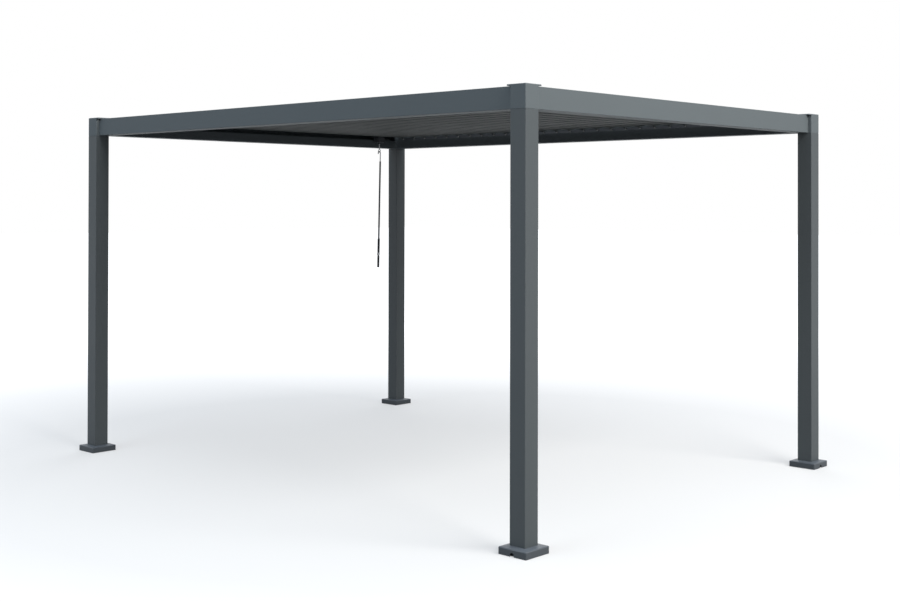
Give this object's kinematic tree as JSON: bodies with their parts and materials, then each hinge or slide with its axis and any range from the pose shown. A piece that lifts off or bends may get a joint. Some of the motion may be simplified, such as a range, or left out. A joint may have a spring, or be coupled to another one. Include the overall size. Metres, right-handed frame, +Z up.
{
  "type": "louvred pergola",
  "caption": "Freestanding aluminium pergola with a flat roof of turning louvres, gutter beams, square posts, foot covers and a hanging hand crank.",
  "frame": {"origin": "on the ground, at the middle of the pergola's plan", "axes": "+Z up, X along the long side, Y along the short side; the front is at -Y and the crank hangs at the back of the left side"},
  "size_m": [4.08, 3.08, 2.319],
  "materials": {
    "post_coat": "fine-textured anthracite powder coat on aluminium profile",
    "beam_coat": "fine-textured anthracite powder coat on aluminium profile, a little lighter than the posts",
    "louvre_coat": "fine-textured anthracite powder coat on aluminium profile",
    "cover_coat": "fine-textured anthracite powder coat on aluminium sheet",
    "gearbox_coat": "dark coated casting",
    "link_metal": "dark anodised flat bar",
    "crank_steel": "zinc-plated steel",
    "crank_coat": "satin dark grey coat on steel tube",
    "grip_plastic": "matt black moulded plastic"
  },
  "bodies": {
    "frame": {"post_front_left": "post_coat", "post_front_right": "post_coat", "post_back_left": "post_coat", "post_back_right": "post_coat", "foot_cover_front_left": "cover_coat", "foot_cover_front_right": "cover_coat", "foot_cover_back_left": "cover_coat", "foot_cover_back_right": "cover_coat", "corner_block_front_left": "beam_coat", "corner_block_front_right": "beam_coat", "corner_block_back_left": "beam_coat", "corner_block_back_right": "beam_coat", "beam_front": "beam_coat", "beam_back": "beam_coat", "beam_left": "beam_coat", "beam_right": "beam_coat", "gearbox": "gearbox_coat"},
    "crank_eye": {"crank_eye": "crank_steel"},
    "louvre_01": {"louvre_01": "louvre_coat"},
    "louvre_02": {"louvre_02": "louvre_coat"},
    "louvre_03": {"louvre_03": "louvre_coat"},
    "louvre_04": {"louvre_04": "louvre_coat"},
    "louvre_05": {"louvre_05": "louvre_coat"},
    "louvre_06": {"louvre_06": "louvre_coat"},
    "louvre_07": {"louvre_07": "louvre_coat"},
    "louvre_08": {"louvre_08": "louvre_coat"},
    "louvre_09": {"louvre_09": "louvre_coat"},
    "louvre_10": {"louvre_10": "louvre_coat"},
    "louvre_11": {"louvre_11": "louvre_coat"},
    "louvre_12": {"louvre_12": "louvre_coat"},
    "louvre_13": {"louvre_13": "louvre_coat"},
    "louvre_14": {"louvre_14": "louvre_coat"},
    "louvre_15": {"louvre_15": "louvre_coat"},
    "louvre_16": {"louvre_16": "louvre_coat"},
    "louvre_17": {"louvre_17": "louvre_coat"},
    "louvre_18": {"louvre_18": "louvre_coat"},
    "louvre_19": {"louvre_19": "louvre_coat"},
    "louvre_20": {"louvre_20": "louvre_coat"},
    "louvre_21": {"louvre_21": "louvre_coat"},
    "louvre_22": {"louvre_22": "louvre_coat"},
    "louvre_23": {"louvre_23": "louvre_coat"},
    "louvre_24": {"louvre_24": "louvre_coat"},
    "louvre_25": {"louvre_25": "louvre_coat"},
    "louvre_26": {"louvre_26": "louvre_coat"},
    "louvre_27": {"louvre_27": "louvre_coat"},
    "louvre_28": {"louvre_28": "louvre_coat"},
    "louvre_29": {"louvre_29": "louvre_coat"},
    "link_bar": {"link_bar": "link_metal"},
    "crank_rod": {"crank_hook": "crank_steel", "crank_rod": "crank_coat", "crank_sleeve": "grip_plastic", "crank_knuckle": "crank_steel"},
    "crank_handle": {"crank_handle": "grip_plastic"}
  },
  "joints": [
    {"name": "louvre_15_turn", "type": "hinge", "parent": "frame", "child": "louvre_15", "pos_m": [0, 0, 2.298], "axis": [0, 1, 0], "range_deg": [0, 90]},
    {"name": "louvre_01_turn", "type": "hinge", "parent": "frame", "child": "louvre_01", "pos_m": [-1.80117, 0, 2.298], "axis": [0, 1, 0], "range_deg": [0, 90]},
    {"name": "louvre_02_turn", "type": "hinge", "parent": "frame", "child": "louvre_02", "pos_m": [-1.67252, 0, 2.298], "axis": [0, 1, 0], "range_deg": [0, 90]},
    {"name": "louvre_03_turn", "type": "hinge", "parent": "frame", "child": "louvre_03", "pos_m": [-1.54386, 0, 2.298], "axis": [0, 1, 0], "range_deg": [0, 90]},
    {"name": "louvre_04_turn", "type": "hinge", "parent": "frame", "child": "louvre_04", "pos_m": [-1.41521, 0, 2.298], "axis": [0, 1, 0], "range_deg": [0, 90]},
    {"name": "louvre_05_turn", "type": "hinge", "parent": "frame", "child": "louvre_05", "pos_m": [-1.28655, 0, 2.298], "axis": [0, 1, 0], "range_deg": [0, 90]},
    {"name": "louvre_06_turn", "type": "hinge", "parent": "frame", "child": "louvre_06", "pos_m": [-1.1579, 0, 2.298], "axis": [0, 1, 0], "range_deg": [0, 90]},
    {"name": "louvre_07_turn", "type": "hinge", "parent": "frame", "child": "louvre_07", "pos_m": [-1.02924, 0, 2.298], "axis": [0, 1, 0], "range_deg": [0, 90]},
    {"name": "louvre_08_turn", "type": "hinge", "parent": "frame", "child": "louvre_08", "pos_m": [-0.90059, 0, 2.298], "axis": [0, 1, 0], "range_deg": [0, 90]},
    {"name": "louvre_09_turn", "type": "hinge", "parent": "frame", "child": "louvre_09", "pos_m": [-0.77193, 0, 2.298], "axis": [0, 1, 0], "range_deg": [0, 90]},
    {"name": "louvre_10_turn", "type": "hinge", "parent": "frame", "child": "louvre_10", "pos_m": [-0.64328, 0, 2.298], "axis": [0, 1, 0], "range_deg": [0, 90]},
    {"name": "louvre_11_turn", "type": "hinge", "parent": "frame", "child": "louvre_11", "pos_m": [-0.51462, 0, 2.298], "axis": [0, 1, 0], "range_deg": [0, 90]},
    {"name": "louvre_12_turn", "type": "hinge", "parent": "frame", "child": "louvre_12", "pos_m": [-0.38597, 0, 2.298], "axis": [0, 1, 0], "range_deg": [0, 90]},
    {"name": "louvre_13_turn", "type": "hinge", "parent": "frame", "child": "louvre_13", "pos_m": [-0.25731, 0, 2.298], "axis": [0, 1, 0], "range_deg": [0, 90]},
    {"name": "louvre_14_turn", "type": "hinge", "parent": "frame", "child": "louvre_14", "pos_m": [-0.12865, 0, 2.298], "axis": [0, 1, 0], "range_deg": [0, 90]},
    {"name": "louvre_16_turn", "type": "hinge", "parent": "frame", "child": "louvre_16", "pos_m": [0.12865, 0, 2.298], "axis": [0, 1, 0], "range_deg": [0, 90]},
    {"name": "louvre_17_turn", "type": "hinge", "parent": "frame", "child": "louvre_17", "pos_m": [0.25731, 0, 2.298], "axis": [0, 1, 0], "range_deg": [0, 90]},
    {"name": "louvre_18_turn", "type": "hinge", "parent": "frame", "child": "louvre_18", "pos_m": [0.38597, 0, 2.298], "axis": [0, 1, 0], "range_deg": [0, 90]},
    {"name": "louvre_19_turn", "type": "hinge", "parent": "frame", "child": "louvre_19", "pos_m": [0.51462, 0, 2.298], "axis": [0, 1, 0], "range_deg": [0, 90]},
    {"name": "louvre_20_turn", "type": "hinge", "parent": "frame", "child": "louvre_20", "pos_m": [0.64328, 0, 2.298], "axis": [0, 1, 0], "range_deg": [0, 90]},
    {"name": "louvre_21_turn", "type": "hinge", "parent": "frame", "child": "louvre_21", "pos_m": [0.77193, 0, 2.298], "axis": [0, 1, 0], "range_deg": [0, 90]},
    {"name": "louvre_22_turn", "type": "hinge", "parent": "frame", "child": "louvre_22", "pos_m": [0.90059, 0, 2.298], "axis": [0, 1, 0], "range_deg": [0, 90]},
    {"name": "louvre_23_turn", "type": "hinge", "parent": "frame", "child": "louvre_23", "pos_m": [1.02924, 0, 2.298], "axis": [0, 1, 0], "range_deg": [0, 90]},
    {"name": "louvre_24_turn", "type": "hinge", "parent": "frame", "child": "louvre_24", "pos_m": [1.1579, 0, 2.298], "axis": [0, 1, 0], "range_deg": [0, 90]},
    {"name": "louvre_25_turn", "type": "hinge", "parent": "frame", "child": "louvre_25", "pos_m": [1.28655, 0, 2.298], "axis": [0, 1, 0], "range_deg": [0, 90]},
    {"name": "louvre_26_turn", "type": "hinge", "parent": "frame", "child": "louvre_26", "pos_m": [1.41521, 0, 2.298], "axis": [0, 1, 0], "range_deg": [0, 90]},
    {"name": "louvre_27_turn", "type": "hinge", "parent": "frame", "child": "louvre_27", "pos_m": [1.54386, 0, 2.298], "axis": [0, 1, 0], "range_deg": [0, 90]},
    {"name": "louvre_28_turn", "type": "hinge", "parent": "frame", "child": "louvre_28", "pos_m": [1.67252, 0, 2.298], "axis": [0, 1, 0], "range_deg": [0, 90]},
    {"name": "louvre_29_turn", "type": "hinge", "parent": "frame", "child": "louvre_29", "pos_m": [1.80117, 0, 2.298], "axis": [0, 1, 0], "range_deg": [0, 90]},
    {"name": "link_bar_turn", "type": "hinge", "parent": "louvre_15", "child": "link_bar", "pos_m": [0.025, 1.366, 2.273], "axis": [0, 1, 0], "range_deg": [-90, 0]},
    {"name": "crank_turn", "type": "hinge", "parent": "frame", "child": "crank_eye", "pos_m": [-1.846, 1.145, 2.2], "axis": [0, 0, 1], "range_deg": [0, 3600]},
    {"name": "crank_swing", "type": "hinge", "parent": "crank_eye", "child": "crank_rod", "pos_m": [-1.846, 1.145, 2.1635], "axis": [0, 1, 0], "range_deg": [-12, 12]},
    {"name": "handle_fold", "type": "hinge", "parent": "crank_rod", "child": "crank_handle", "pos_m": [-1.846, 1.13733, 1.29645], "axis": [1, 0, 0], "range_deg": [0, 90]}
  ],
  "couplings": [
    {"joint": "louvre_01_turn", "follows": "louvre_15_turn", "ratio": 1},
    {"joint": "louvre_02_turn", "follows": "louvre_15_turn", "ratio": 1},
    {"joint": "louvre_03_turn", "follows": "louvre_15_turn", "ratio": 1},
    {"joint": "louvre_04_turn", "follows": "louvre_15_turn", "ratio": 1},
    {"joint": "louvre_05_turn", "follows": "louvre_15_turn", "ratio": 1},
    {"joint": "louvre_06_turn", "follows": "louvre_15_turn", "ratio": 1},
    {"joint": "louvre_07_turn", "follows": "louvre_15_turn", "ratio": 1},
    {"joint": "louvre_08_turn", "follows": "louvre_15_turn", "ratio": 1},
    {"joint": "louvre_09_turn", "follows": "louvre_15_turn", "ratio": 1},
    {"joint": "louvre_10_turn", "follows": "louvre_15_turn", "ratio": 1},
    {"joint": "louvre_11_turn", "follows": "louvre_15_turn", "ratio": 1},
    {"joint": "louvre_12_turn", "follows": "louvre_15_turn", "ratio": 1},
    {"joint": "louvre_13_turn", "follows": "louvre_15_turn", "ratio": 1},
    {"joint": "louvre_14_turn", "follows": "louvre_15_turn", "ratio": 1},
    {"joint": "louvre_16_turn", "follows": "louvre_15_turn", "ratio": 1},
    {"joint": "louvre_17_turn", "follows": "louvre_15_turn", "ratio": 1},
    {"joint": "louvre_18_turn", "follows": "louvre_15_turn", "ratio": 1},
    {"joint": "louvre_19_turn", "follows": "louvre_15_turn", "ratio": 1},
    {"joint": "louvre_20_turn", "follows": "louvre_15_turn", "ratio": 1},
    {"joint": "louvre_21_turn", "follows": "louvre_15_turn", "ratio": 1},
    {"joint": "louvre_22_turn", "follows": "louvre_15_turn", "ratio": 1},
    {"joint": "louvre_23_turn", "follows": "louvre_15_turn", "ratio": 1},
    {"joint": "louvre_24_turn", "follows": "louvre_15_turn", "ratio": 1},
    {"joint": "louvre_25_turn", "follows": "louvre_15_turn", "ratio": 1},
    {"joint": "louvre_26_turn", "follows": "louvre_15_turn", "ratio": 1},
    {"joint": "louvre_27_turn", "follows": "louvre_15_turn", "ratio": 1},
    {"joint": "louvre_28_turn", "follows": "louvre_15_turn", "ratio": 1},
    {"joint": "louvre_29_turn", "follows": "louvre_15_turn", "ratio": 1},
    {"joint": "link_bar_turn", "follows": "louvre_15_turn", "ratio": -1},
    {"joint": "crank_turn", "follows": "louvre_15_turn", "ratio": 40}
  ]
}
